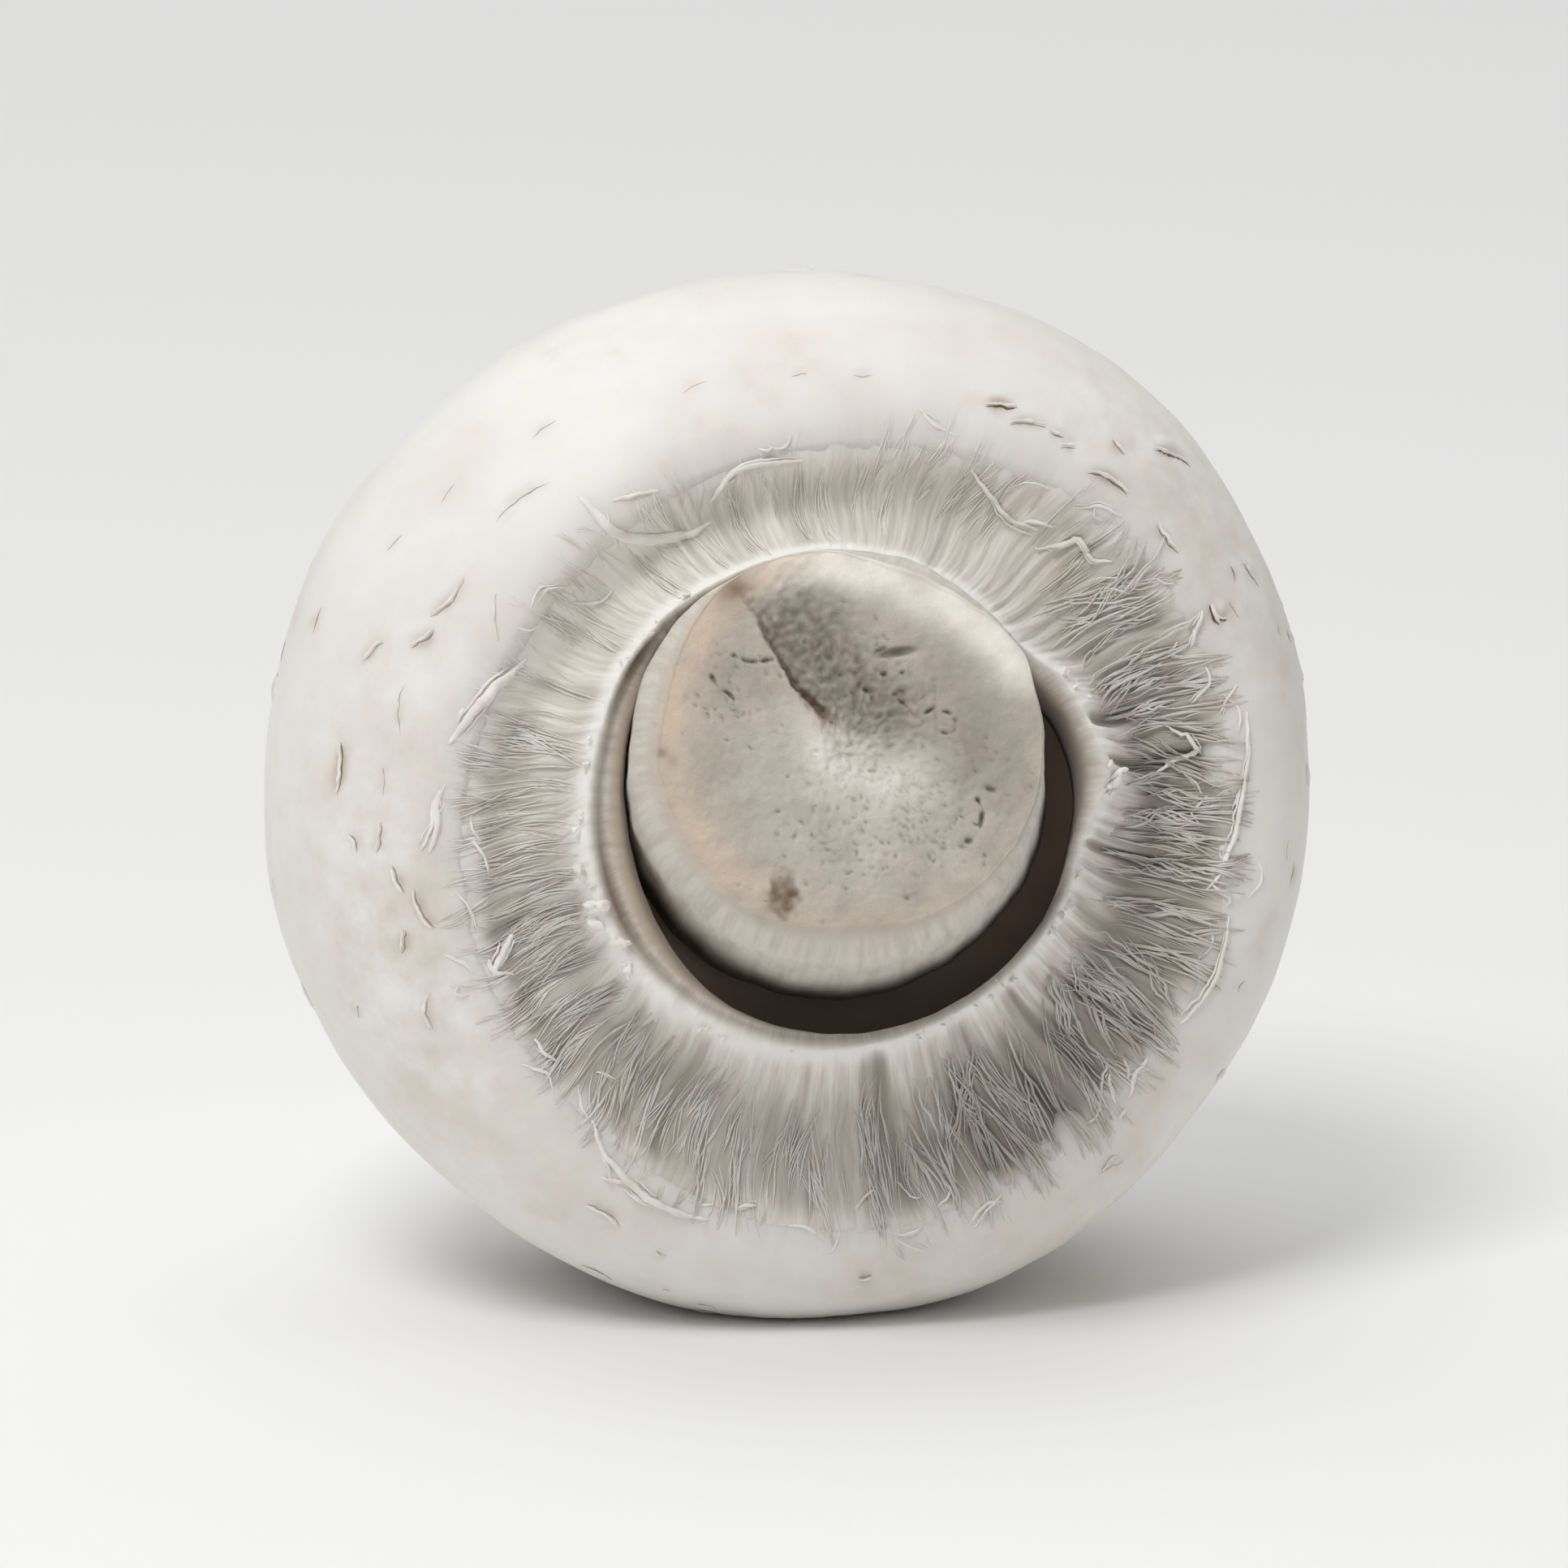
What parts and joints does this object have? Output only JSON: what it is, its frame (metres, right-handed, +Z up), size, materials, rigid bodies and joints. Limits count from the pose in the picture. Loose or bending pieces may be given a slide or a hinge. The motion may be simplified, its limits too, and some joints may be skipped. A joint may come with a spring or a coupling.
{
  "type": "button mushroom",
  "caption": "Closed-cup button mushroom lying on its side: domed cap with a rolled margin, fibrous veil with a loose collar, and a short stem cut across.",
  "frame": {"origin": "centre of the bounding box's bottom, on the surface that the mushroom lies on", "axes": "+X across the cap, +Y from the cut stem towards the crown, +Z up; the stem points 8 degrees above -Y"},
  "size_m": [0.0518, 0.0436, 0.0502],
  "materials": {
    "cap_skin": "smooth dry skin, off-white, with a few brown-edged scales",
    "stem_flesh": "matte cut flesh, cream to tan",
    "veil_membrane": "matte, finely fibrous"
  },
  "bodies": {
    "root": {"cap": "cap_skin", "stem": "stem_flesh", "veil": "veil_membrane"}
  },
  "joints": []
}
